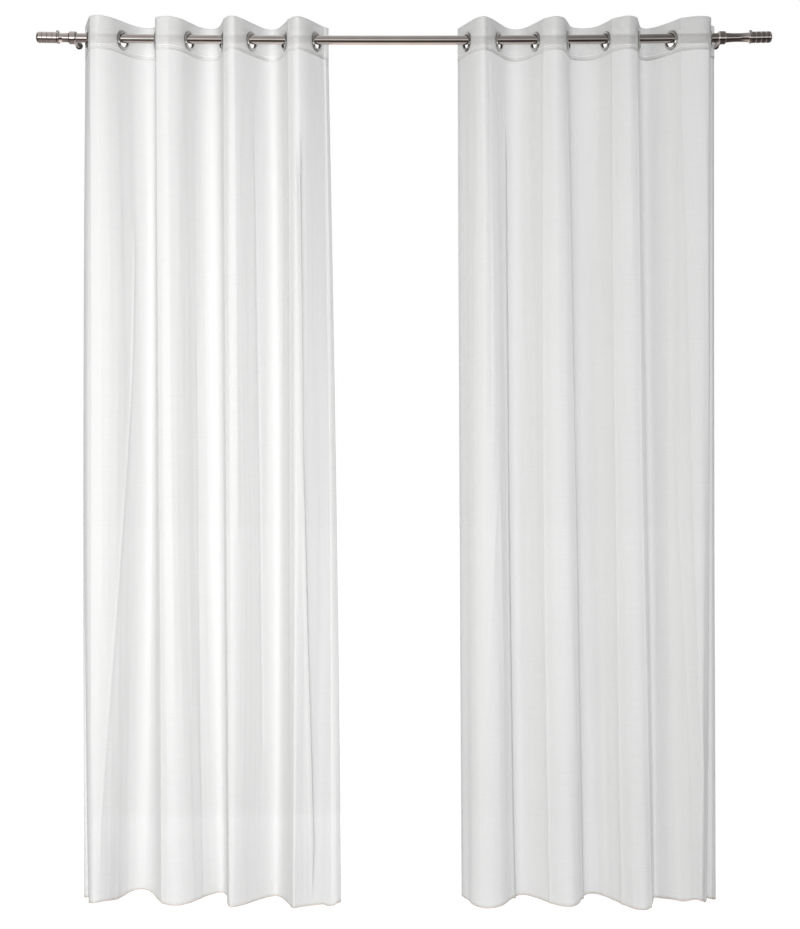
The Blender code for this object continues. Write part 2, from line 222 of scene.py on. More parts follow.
def rod_drop(x):
    """How far the rod's axis lies below its height at the brackets."""
    half = BRACKET_SPAN / 2
    return ROD_SAG * (1.0 - ((x - half) / half) ** 2)


def rod_slope(x):
    """The rod's slope at x, positive where it rises to the right."""
    half = BRACKET_SPAN / 2
    return 2 * ROD_SAG * (x - half) / half**2


def turned_piece(name, profile, sides, ring=False):
    """Turn a piece on a lathe, about Z: a circle is extruded through (radius, length) steps."""
    bpy.ops.object.select_all(action="DESELECT")
    radius, length = profile[0]
    bpy.ops.mesh.primitive_circle_add(vertices=sides, radius=radius, fill_type="NOTHING",
                                      location=(0.0, 0.0, 0.0))
    piece = bpy.context.active_object
    piece.name = name
    bpy.ops.object.mode_set(mode="EDIT")
    bpy.ops.mesh.select_all(action="SELECT")
    bpy.ops.transform.translate(value=(0.0, 0.0, length))
    for next_radius, next_length in profile[1:]:
        bpy.ops.mesh.extrude_region_move(
            TRANSFORM_OT_translate={"value": (0.0, 0.0, next_length - length)})
        if next_radius != radius:
            grow = next_radius / radius
            bpy.ops.transform.resize(value=(grow, grow, 1.0),
                                     center_override=(0.0, 0.0, next_length))
        radius, length = next_radius, next_length
    bpy.ops.mesh.select_all(action="DESELECT")
    bpy.ops.mesh.select_mode(type="EDGE")
    bpy.ops.mesh.select_non_manifold(extend=False)
    if ring:
        bpy.ops.mesh.bridge_edge_loops()
    else:
        bpy.ops.mesh.edge_face_add()
    bpy.ops.mesh.select_all(action="SELECT")
    bpy.ops.mesh.normals_make_consistent(inside=False)
    bpy.ops.object.mode_set(mode="OBJECT")
    return piece


def set_in_place(piece, matrix, angle=32.0):
    """Put a turned piece in its place, in its mesh, and shade it smooth up to an angle."""
    piece.matrix_world = matrix
    bpy.ops.object.select_all(action="DESELECT")
    piece.select_set(True)
    bpy.context.view_layer.objects.active = piece
    bpy.ops.object.transform_apply(location=True, rotation=True, scale=True)
    bpy.ops.object.shade_smooth_by_angle(angle=math.radians(angle))


def along_rod(x, way):
    """The place of a turned piece on the rod's axis, its length running the given way."""
    lay = Matrix.Rotation(math.radians(90 * way) - rod_slope(x), 4, "Y")
    return Matrix.Translation((x, -ROD_STANDOFF, -rod_drop(x))) @ lay


def plated_metal(name, colour, roughness, marks, painted_shade=False):
    """Plated metal: fine polishing lines and faint cloudy patches. Where a piece has the per-point
    attribute that this material reads, its colour is darkened there towards a tenth: a painted
    shade."""
    darker, lighter, painted_dark = 0.86, 1.10, 0.10
    metal = bpy.data.materials.new(name)
    metal.use_nodes = True
    tree = metal.node_tree
    shader = tree.nodes["Principled BSDF"]
    shader.inputs["Metallic"].default_value = 1.0
    place = tree.nodes.new("ShaderNodeTexCoord")
    # polishing lines a millimetre or so apart, each long along the rod
    stretch = tree.nodes.new("ShaderNodeMapping")
    stretch.inputs["Scale"].default_value = (3.0, 900.0, 900.0)
    lines = tree.nodes.new("ShaderNodeTexNoise")
    lines.inputs["Scale"].default_value = 1.0
    lines.inputs["Detail"].default_value = 4.0
    patches = tree.nodes.new("ShaderNodeTexNoise")
    patches.inputs["Scale"].default_value = 22.0
    patches.inputs["Detail"].default_value = 3.0
    tint = tree.nodes.new("ShaderNodeMix")
    tint.data_type = "RGBA"
    tint.inputs["A"].default_value = (*[c * darker for c in colour], 1.0)
    tint.inputs["B"].default_value = (*[min(1.0, c * lighter) for c in colour], 1.0)
    rough = tree.nodes.new("ShaderNodeMapRange")
    rough.inputs["To Min"].default_value = roughness * 0.75
    rough.inputs["To Max"].default_value = roughness * 1.30
    relief = tree.nodes.new("ShaderNodeBump")
    relief.inputs["Strength"].default_value = marks
    relief.inputs["Distance"].default_value = 0.0004
    for a, b in (
        (place.outputs["Object"], stretch.inputs["Vector"]),
        (stretch.outputs[0], lines.inputs["Vector"]),
        (place.outputs["Object"], patches.inputs["Vector"]),
        (patches.outputs["Fac"], tint.inputs["Factor"]),
        (patches.outputs["Fac"], rough.inputs["Value"]),
        (rough.outputs[0], shader.inputs["Roughness"]),
        (lines.outputs["Fac"], relief.inputs["Height"]),
        (relief.outputs[0], shader.inputs["Normal"]),
    ):
        tree.links.new(a, b)
    surface = tint.outputs["Result"]
    if painted_shade:
        # painted shade: the colour is darkened towards a tenth where the attribute is set
        shade_mask = tree.nodes.new("ShaderNodeAttribute")
        shade_mask.attribute_name = "painted_shade"
        darken = tree.nodes.new("ShaderNodeMix")
        darken.data_type = "RGBA"
        darken.inputs["B"].default_value = (*[c * painted_dark for c in colour], 1.0)
        tree.links.new(surface, darken.inputs["A"])
        tree.links.new(shade_mask.outputs["Fac"], darken.inputs["Factor"])
        surface = darken.outputs["Result"]
    tree.links.new(surface, shader.inputs["Base Color"])
    return metal


rod_length = BRACKET_SPAN + 2 * ROD_PAST_BRACKET
rod_steps = 24
rod_profile = [(ROD_RADIUS, rod_length * k / rod_steps) for k in range(rod_steps + 1)]
rod_profile += [(ROD_RADIUS - TUBE_THICKNESS, length) for _, length in reversed(rod_profile)]
rod = turned_piece("rod_tube", rod_profile, LATHE_SIDES, ring=True)
set_in_place(rod, Matrix.Translation((-ROD_PAST_BRACKET, -ROD_STANDOFF, 0.0))
             @ Matrix.Rotation(math.radians(90.0), 4, "Y"))
for point in rod.data.vertices:
    point.co.z -= rod_drop(point.co.x)
rod.data.materials.append(plated_metal("satin_nickel", (0.62, 0.575, 0.55), 0.075, 0.03))
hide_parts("rod")
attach(rod, "root")


# ------------------------------------------------------------------ finials
# A cast finial is pushed into each end of the rod: a waisted neck, longer on the right, and a
# cap with a raised collar, three turned grooves and a rounded nose. A screw in a small boss on
# top of the collar holds it.
# on the bracket arms this plating's colour is darkened by a painted shade
dark_nickel = plated_metal("dark_nickel", (0.72, 0.67, 0.645), 0.06, 0.04, painted_shade=True)

COLLAR_RADIUS = 0.0172
CAP_RADIUS = 0.0154
CAP_LENGTH = 0.0635
NOSE_LENGTH = 0.0080
NOSE_NARROWS = 0.0095
GROOVES = (0.0180, 0.0320, 0.0460)
# each groove's depth, at places before and after its middle
GROOVE_SHAPE = ((0.0, -0.0018), (0.0, -0.0014), (0.0003, -0.0009), (0.0009, -0.0004),
                (0.0009, 0.0004), (0.0003, 0.0009), (0.0, 0.0014), (0.0, 0.0018))
cap_profile = [(0.0120, 0.0), (0.0160, 0.0), (0.0169, 0.0004), (COLLAR_RADIUS, 0.0012),
               (COLLAR_RADIUS, 0.0016), (COLLAR_RADIUS, 0.0032), (COLLAR_RADIUS, 0.0036),
               (0.0168, 0.0045), (0.0157, 0.0058), (CAP_RADIUS, 0.0066), (CAP_RADIUS, 0.0072)]
for groove in GROOVES:
    cap_profile += [(CAP_RADIUS - depth, groove + along) for depth, along in GROOVE_SHAPE]
for degrees in range(0, 91, 9):
    angle = math.radians(degrees)
    cap_profile.append((CAP_RADIUS - NOSE_NARROWS * (1 - math.cos(angle)),
                        CAP_LENGTH - NOSE_LENGTH * (1 - math.sin(angle))))
cap_pattern = turned_piece("finial_cap", cap_profile, LATHE_SIDES)
boss_pattern = turned_piece("finial_boss", [
    (0.0042, 0.0120), (0.0042, 0.0178), (0.0039, 0.0187), (0.0032, 0.0191), (0.0021, 0.0192),
    (0.0019, 0.0190), (0.0018, 0.0176)], LATHE_SIDES // 2)


def copy_of(pattern, name):
    """A copy of a finished piece, with its own mesh."""
    copy = pattern.copy()
    copy.data = pattern.data.copy()
    copy.name = name
    bpy.context.scene.collection.objects.link(copy)
    return copy


NECK_END_RADIUS = 0.0132
PLUG_RADIUS = 0.0107
PLUG_LENGTH = 0.022
NECK_GAP = 0.0006
BOSS_PLACE = 0.0048
for side, end, way, neck_length, waist in (
        ("left", -ROD_PAST_BRACKET, -1, 0.0265, 0.0124),
        ("right", BRACKET_SPAN + ROD_PAST_BRACKET, 1, 0.0640, 0.0116)):
    neck_profile = [(PLUG_RADIUS, -PLUG_LENGTH), (PLUG_RADIUS, NECK_GAP)]
    for share in [k / 16 for k in range(17)]:
        neck_profile.append((waist + (NECK_END_RADIUS - waist) * (2 * share - 1) ** 2,
                             NECK_GAP + (neck_length + 0.0004) * share))
    neck = turned_piece(f"finial_{side}_neck", neck_profile, LATHE_SIDES)
    set_in_place(neck, along_rod(end, way))
    cap = copy_of(cap_pattern, f"finial_{side}_cap")
    set_in_place(cap, along_rod(end + way * neck_length, way))
    boss = copy_of(boss_pattern, f"finial_{side}_boss")
    boss_x = end + way * (neck_length + BOSS_PLACE)
    set_in_place(boss, Matrix.Translation((boss_x, -ROD_STANDOFF, -rod_drop(boss_x))))
    for piece in (neck, cap, boss):
        piece.data.materials.append(dark_nickel)
        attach(piece, "root")
    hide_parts(f"finial_{side}")
for pattern in (cap_pattern, boss_pattern):
    bpy.data.objects.remove(pattern, do_unlink=True)


# ------------------------------------------------------------------ brackets
# A cast ring that the rod lies in, on a tapered round arm with a small plate at its end. Ring
# and arm are one casting, plated as the finials are; the arm's colour is darkened, a painted shade.
RING_RADIUS = 0.0178
RING_BORE = ROD_RADIUS + 0.0006
RING_HALF_WIDTH = 0.01025
ARM_RADIUS_AT_RING = 0.0105
ARM_RADIUS_AT_PLATE = 0.0072
PLATE_RADIUS = 0.0100
ARM_PAINTED_SHADE = 0.8
ring_side = -ROD_STANDOFF + RING_RADIUS
arm_pattern = turned_piece("bracket_arm", [
    (ARM_RADIUS_AT_RING, ring_side - 0.0040), (ARM_RADIUS_AT_RING, ring_side + 0.0008),
    (0.0102, ring_side + 0.0022), (0.0096, ring_side + 0.0100), (ARM_RADIUS_AT_PLATE, -0.0070),
    (0.0074, -0.0058), (0.0086, -0.0048), (0.0095, -0.0042), (0.0099, -0.0036),
    (PLATE_RADIUS, -0.0030), (PLATE_RADIUS, 0.0)], LATHE_SIDES)
# painted shade: the whole arm's colour is darkened, as it sits in shadow between ring and plate
arm_shade = arm_pattern.data.attributes.new("painted_shade", "FLOAT", "POINT")
arm_shade.data.foreach_set("value", [ARM_PAINTED_SHADE] * len(arm_pattern.data.vertices))
half_ring = [(RING_BORE + 0.0006, -RING_HALF_WIDTH), (0.0156, -RING_HALF_WIDTH),
             (0.0167, -RING_HALF_WIDTH + 0.0005), (0.0175, -RING_HALF_WIDTH + 0.0020),
             (RING_RADIUS, -RING_HALF_WIDTH + 0.0036), (RING_RADIUS, -RING_HALF_WIDTH + 0.0042)]
ring_profile = half_ring + [(radius, -length) for radius, length in reversed(half_ring)]
ring_profile += [(RING_BORE, RING_HALF_WIDTH - 0.0006), (RING_BORE, -RING_HALF_WIDTH + 0.0006)]
ring_pattern = turned_piece("bracket_ring", ring_profile, LATHE_SIDES, ring=True)
for side, x in (("left", 0.0), ("right", BRACKET_SPAN)):
    arm = copy_of(arm_pattern, f"bracket_{side}_arm")
    set_in_place(arm, Matrix.Translation((x, 0.0, 0.0))
                 @ Matrix.Rotation(math.radians(-90), 4, "X"))
    ring = copy_of(ring_pattern, f"bracket_{side}_ring")
    set_in_place(ring, along_rod(x, 1))
    for piece in (arm, ring):
        piece.data.materials.append(dark_nickel)
        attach(piece, "root")
    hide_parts(f"bracket_{side}")
for pattern in (arm_pattern, ring_pattern):
    bpy.data.objects.remove(pattern, do_unlink=True)


# ------------------------------------------------------------------ sheer panels
# Two lengths of white polyester voile, each 1.32 m wide, with narrow side hems and a narrow
# bottom hem turned to the back. The stiff heading sets the folds and they hang from it.
HEADING_TOP = 0.0460
HEADING_BOTTOM = -0.0450
MIDDLE_Z = -1.138
HEM_Z = -2.381
EYELET_PITCH = 0.171
SIDE_MARGIN = 0.0615
FLAT_AT_EYELET = 0.0285
FLAT_AT_MIDDLE = 0.0140
FLAT_AT_HEM = 0.0100
SIDE_HEM = 0.012
BOTTOM_HEM = 0.006
LOOP_POINTS = 121

# Each row is a line down the cloth, a side hem or an eyelet's line, at the rod, half way down
# and at the hem: x from the left bracket, y from the rod's axis to the back, and the way that
# the cloth runs there in degrees from +X to the back. The last column is how far the bottom hem
# drops between that line and the next one.
LEFT_LINES = (
    (0.023, 0.058, -72, 0.018, 0.055, -70, 0.024, 0.042, -86, -0.002),
    (0.040, 0.000, -74, 0.034, 0.000, -74, 0.044, -0.002, -80, -0.010),
    (0.138, 0.000, 61, 0.147, 0.006, 62, 0.124, 0.020, 68, -0.011),
    (0.228, 0.000, -83, 0.232, 0.004, -78, 0.232, 0.012, -68, 0.002),
    (0.321, 0.000, 66, 0.326, 0.002, 64, 0.346, 0.010, 62, -0.001),
    (0.411, 0.000, -75, 0.418, 0.002, -80, 0.425, 0.006, -84, -0.002),
    (0.493, 0.000, 64, 0.501, -0.004, 60, 0.500, -0.012, 58, 0.002),
    (0.584, 0.000, -71, 0.592, -0.008, -74, 0.592, -0.018, -72, -0.004),
    (0.672, 0.000, 64, 0.684, -0.019, 50, 0.686, -0.041, 32, 0.009),
    (0.703, 0.051, 56, 0.724, 0.022, 46, 0.740, -0.017, 22, 0.000),
)
RIGHT_LINES = (
    (1.064, 0.057, -68, 1.068, 0.056, -68, 1.074, 0.049, -82, 0.000),
    (1.087, 0.000, -68, 1.090, -0.002, -70, 1.094, -0.010, -78, 0.003),
    (1.176, 0.000, 65, 1.190, 0.000, 74, 1.200, -0.012, 68, 0.000),
    (1.276, 0.000, -66, 1.280, 0.002, -64, 1.300, -0.004, -58, 0.001),
    (1.366, 0.000, 75, 1.386, 0.002, 78, 1.403, 0.004, 76, -0.003),
    (1.470, 0.000, -67, 1.476, 0.000, -64, 1.500, -0.014, -62, 0.004),
    (1.561, 0.000, 78, 1.579, -0.002, 80, 1.596, -0.024, 78, 0.008),
    (1.651, 0.000, -59, 1.660, 0.000, -58, 1.670, -0.004, -52, -0.020),
    (1.758, 0.000, 84, 1.756, 0.000, 80, 1.745, -0.010, 70, -0.004),
    (1.780, 0.055, 62, 1.779, 0.046, 56, 1.776, 0.012, 20, 0.000),
)


def line_places(lines):
    """Where each of those lines lies along the flat cloth, from the left side hem."""
    inner = [SIDE_MARGIN + EYELET_PITCH * k for k in range(len(lines) - 2)]
    return [0.0] + inner + [inner[-1] + SIDE_MARGIN]


def cloth_loop(start, start_way, end, end_way, length):
    """The smooth loop between two straight stretches that uses up the cloth between them."""
    share = np.linspace(0.0, 1.0, LOOP_POINTS)[:, None]
    rest = 1.0 - share
    short, long = 0.0, 1.5 * length
    for _ in range(30):
        handle = (short + long) / 2
        first, last = start + start_way * handle, end - end_way * handle
        points = (rest**3 * start + 3 * rest**2 * share * first
                  + 3 * rest * share**2 * last + share**3 * end)
        used = np.linalg.norm(np.diff(points, axis=0), axis=1).sum()
        short, long = (handle, long) if used < length else (short, handle)
    return points


def cloth_section(lines, level, flat):
    """A panel from above at one level: places along the cloth and the points there."""
    places = line_places(lines)
    spots, ways = [], []
    for line in lines:
        x, y, degrees = line[3 * level:3 * level + 3]
        spots.append(np.array((x, y - ROD_STANDOFF)))
        ways.append(np.array((math.cos(math.radians(degrees)), math.sin(math.radians(degrees)))))
    along, curve = [], []
    last = len(lines) - 1
    for k in range(last):
        flat_here = 0.0 if k == 0 else flat
        flat_next = 0.0 if k + 1 == last else flat
        length = places[k + 1] - places[k] - flat_here - flat_next
        points = cloth_loop(spots[k] + ways[k] * flat_here, ways[k],
                            spots[k + 1] - ways[k + 1] * flat_next, ways[k + 1], length)
        steps = np.linalg.norm(np.diff(points, axis=0), axis=1)
        along.append(places[k] + flat_here
                     + np.concatenate(([0.0], np.cumsum(steps))) / steps.sum() * length)
        curve.append(points)
    along, curve = np.concatenate(along), np.concatenate(curve)
    return lambda u: np.stack([np.interp(u, along, curve[:, k]) for k in (0, 1)], axis=-1)


# Slight upright ripples over the whole cloth: how far apart, and how deep, where they are
# fullest. They start below the heading.
RIPPLES = ((0.052, 0.00045), (0.034, 0.00022), (0.0225, 0.00012), (0.0155, 0.00006))
RIPPLES_START = 0.25
# Creases are rounded at the top and run out over a tenth of their length. One that is higher
# than PINCHED half widths is pinched tight, with more cloth behind it for a little either side.
CREASE_ROUNDING = 0.0014
CREASE_RUN_OUT = 0.10
PINCHED = 1.2
PINCH_REACH = 2.6
PINCH_FULL = 6.0
STEP_ALONG = 0.0005


class Hanging:
    """How one panel hangs: from a place along the cloth and a height to a point."""

    def __init__(self, lines, creases):
        self.lines = lines
        self.creases = creases
        self.places = line_places(lines)
        self.width = self.places[-1]
        self.sections = [cloth_section(lines, level, flat) for level, flat in
                         enumerate((FLAT_AT_EYELET, FLAT_AT_MIDDLE, FLAT_AT_HEM))]

    def plan(self, u, z):
        """The cloth's middle surface from above."""
        low, mid, top = HEM_Z, MIDDLE_Z, HEADING_BOTTOM
        z = np.clip(z, low, top)
        weights = ((z - mid) * (z - low) / ((top - mid) * (top - low)),
                   (z - top) * (z - low) / ((mid - top) * (mid - low)),
                   (z - top) * (z - mid) / ((low - top) * (low - mid)))
        return sum(w[..., None] * section(u) for w, section in zip(weights, self.sections))

    def hem_height(self, u):
        """Height of the bottom hem at each place."""
        height = np.full_like(u, HEM_Z)
        for k in range(len(self.lines) - 1):
            start, end = self.places[k], self.places[k + 1]
            swell = np.sin(math.pi * np.clip((u - start) / (end - start), 0.0, 1.0)) ** 2
            height = height - self.lines[k][9] * swell
        return height

    def relief(self, u, z):
        """Creases across the cloth, and its slight ripples, towards the front where positive."""
        total = np.zeros_like(u * z)
        for k, (length, height) in enumerate(RIPPLES):
            drift = (0.34 * np.sin((1.3 + 0.7 * k) * z + (5.0 + 4.0 * k) * u + 2.1 * k)
                     + 0.21 * np.sin((2.9 - 0.5 * k) * z - (13.0 - 2.0 * k) * u + 0.7 * k * k))
            swell = 0.5 + 0.5 * np.sin((1.9 - 0.6 * k) * z + (9.0 + 5.0 * k) * u + 1.3 * k * k)
            total = total + height * swell * np.sin(2 * math.pi * (u / length + drift))
        total = total * np.clip((HEADING_BOTTOM - z) / RIPPLES_START, 0.0, 1.0)
        for height, width, *path in self.creases:
            away, fade = self.crease_run(path, u, z)
            away = np.sqrt(away**2 + CREASE_ROUNDING**2) - CREASE_ROUNDING
            total = total + height * fade * np.exp(-away / width)
        return total

    def crease_run(self, path, u, z):
        """How far each place is from a crease along the cloth, and how full the crease is there."""
        levels = [level for level, _ in reversed(path)]
        centre = np.interp(z, levels, [place for _, place in reversed(path)])
        reach = CREASE_RUN_OUT * (levels[-1] - levels[0]) + 0.01
        fade = np.clip(np.minimum(levels[-1] - z, z - levels[0]) / reach + 1.0, 0.0, 1.0)
        return u - centre, fade * fade * (3 - 2 * fade)

    def gathered(self, u, z):
        """How much more cloth lies behind itself, where a crease is pinched tight."""
        total = np.zeros_like(u * z)
        for height, width, *path in self.creases:
            if height > PINCHED * width:
                away, fade = self.crease_run(path, u, z)
                total = total + height / width * fade * np.exp(-(away / (PINCH_REACH * width)) ** 4)
        return total / PINCH_FULL

    def points(self, u, z, offset):
        """Points of the cloth, moved across it by the offset and by its own relief."""
        u = np.clip(u, 0.0, self.width)
        way = (self.plan(np.clip(u + STEP_ALONG, 0, self.width), z)
               - self.plan(np.clip(u - STEP_ALONG, 0, self.width), z))
        way /= np.linalg.norm(way, axis=-1, keepdims=True)
        spot = self.plan(u, z)
        across = offset + self.relief(u, z)
        rod_x = self.sections[0](u)[..., 0]
        bend = rod_drop(rod_x) * np.minimum(1.0, (z - HEM_Z) / -HEM_Z)
        return np.stack((spot[..., 0] + way[..., 1] * across,
                         spot[..., 1] - way[..., 0] * across, z - bend), axis=-1)


# Creases, one a row: how far it stands towards the front, its half width, and the heights that
# it passes with the place along the cloth at each.
LEFT_CREASES = (
    # first fold: edges of its front face, and the long slanting crease on its right
    (0.0024, 0.0050, (0.050, 0.118), (-0.700, 0.120), (-1.900, 0.118)),
    (0.0030, 0.009, (0.050, 0.143), (-1.000, 0.146), (-1.500, 0.148)),
    (0.0026, 0.005, (-0.610, 0.268), (-0.980, 0.252), (-1.400, 0.210), (-1.790, 0.175),
     (-2.170, 0.146)),
    # second fold
    (0.0028, 0.0045, (0.050, 0.458), (-0.700, 0.452), (-1.800, 0.449), (-2.381, 0.443)),
    (0.0032, 0.009, (0.050, 0.492), (-1.000, 0.493), (-1.700, 0.497)),
    (-0.0022, 0.010, (-0.900, 0.610), (-2.381, 0.600)),
    # third fold
    (0.0028, 0.0045, (0.050, 0.788), (-0.700, 0.790), (-1.170, 0.798), (-1.800, 0.813),
     (-2.381, 0.826)),
    (0.0030, 0.009, (0.050, 0.834), (-0.700, 0.839), (-1.270, 0.842)),
    (-0.0025, 0.008, (-0.300, 0.930), (-1.900, 0.955)),
    # fourth fold, whose crest is pinched below the top
    (0.0024, 0.0045, (0.050, 1.130), (-1.200, 1.129), (-2.381, 1.143)),
    (0.0030, 0.009, (0.050, 1.172), (-0.350, 1.174)),
    (0.0105, 0.0024, (-0.420, 1.175), (-1.110, 1.182), (-1.540, 1.199), (-2.190, 1.229)),
    # puckers under the last eyelet
    (0.0012, 0.0030, (-0.046, 1.262), (-0.100, 1.284)),
    (0.0012, 0.0030, (-0.048, 1.274), (-0.082, 1.300)),
    (-0.0010, 0.0030, (-0.052, 1.288), (-0.120, 1.306)),
)
RIGHT_CREASES = (
    # first fold: crest, the trough behind it, and the pinched line down its right side
    (0.0032, 0.008, (0.050, 0.147), (-0.500, 0.144), (-1.000, 0.142)),
    (-0.0022, 0.009, (0.000, 0.165), (-1.000, 0.158)),
    (0.0022, 0.005, (-1.240, 0.176), (-1.540, 0.156), (-1.810, 0.145), (-2.200, 0.138)),
    (0.0018, 0.005, (-1.150, 0.183), (-1.700, 0.201)),
    (0.0080, 0.0026, (-0.330, 0.266), (-0.700, 0.261), (-1.540, 0.262), (-2.090, 0.268),
     (-2.381, 0.276)),
    # second fold
    (0.0030, 0.0045, (0.050, 0.452), (-0.700, 0.443), (-1.800, 0.434), (-2.381, 0.431)),
    (0.0026, 0.010, (0.050, 0.493), (-1.140, 0.490)),
    (0.0055, 0.0030, (-0.300, 0.542), (-1.170, 0.547), (-1.800, 0.566), (-2.381, 0.590)),
    # third fold
    (0.0030, 0.0045, (0.050, 0.785), (-1.400, 0.781), (-2.381, 0.770)),
    (0.0026, 0.010, (0.050, 0.838), (-0.600, 0.840)),
    (0.0028, 0.0035, (-0.250, 0.868), (-1.170, 0.863), (-2.381, 0.877)),
    # fourth fold, with its slanting front edge and a fine crease beside it
    (0.0034, 0.0050, (0.050, 1.129), (-0.330, 1.134), (-0.860, 1.149), (-1.330, 1.158),
     (-1.810, 1.175), (-2.381, 1.206)),
    (0.0018, 0.005, (-1.140, 1.094), (-1.610, 1.119), (-2.090, 1.146)),
    (0.0030, 0.008, (-0.330, 1.196), (-1.100, 1.206), (-1.800, 1.220)),
    # puckers under the heading
    (0.0012, 0.0030, (-0.046, 1.158), (-0.085, 1.166)),
    (-0.0010, 0.0030, (-0.046, 1.170), (-0.090, 1.176)),
)


def sheet_mesh(name, places, heights, points, columns, rows):
    """A sheet from a grid of points, its UV map in metres along and down the flat cloth."""
    mesh = bpy.data.meshes.new(name)
    index = np.arange(rows * columns).reshape(rows, columns)
    faces = np.stack((index[:-1, :-1], index[1:, :-1], index[1:, 1:], index[:-1, 1:]),
                     axis=-1).reshape(-1, 4)
    mesh.from_pydata(points.reshape(-1, 3).tolist(), [], faces.tolist())
    flat = mesh.uv_layers.new(name="flat_cloth")
    corner = faces.reshape(-1)
    uv = np.stack((places.reshape(-1)[corner], heights.reshape(-1)[corner]), axis=-1)
    flat.data.foreach_set("uv", uv.reshape(-1).astype(np.float32))
    mesh.shade_smooth()
    sheet = bpy.data.objects.new(name, mesh)
    bpy.context.scene.collection.objects.link(sheet)
    return sheet


WARP_PITCH = 0.00058
WEFT_PITCH = 0.00054
STITCH_LENGTH = 0.0030
STITCH_HALF_HEIGHT = 0.0007
SEWN_WHITE = (0.98, 0.975, 0.97, 1.0)
HEM_TINT = (0.86, 0.79, 0.72, 1.0)
HEM_TINT_SHARE = 0.9
TURNED_EDGE_THINNER = 0.45
PINCH_SHADE = 0.35


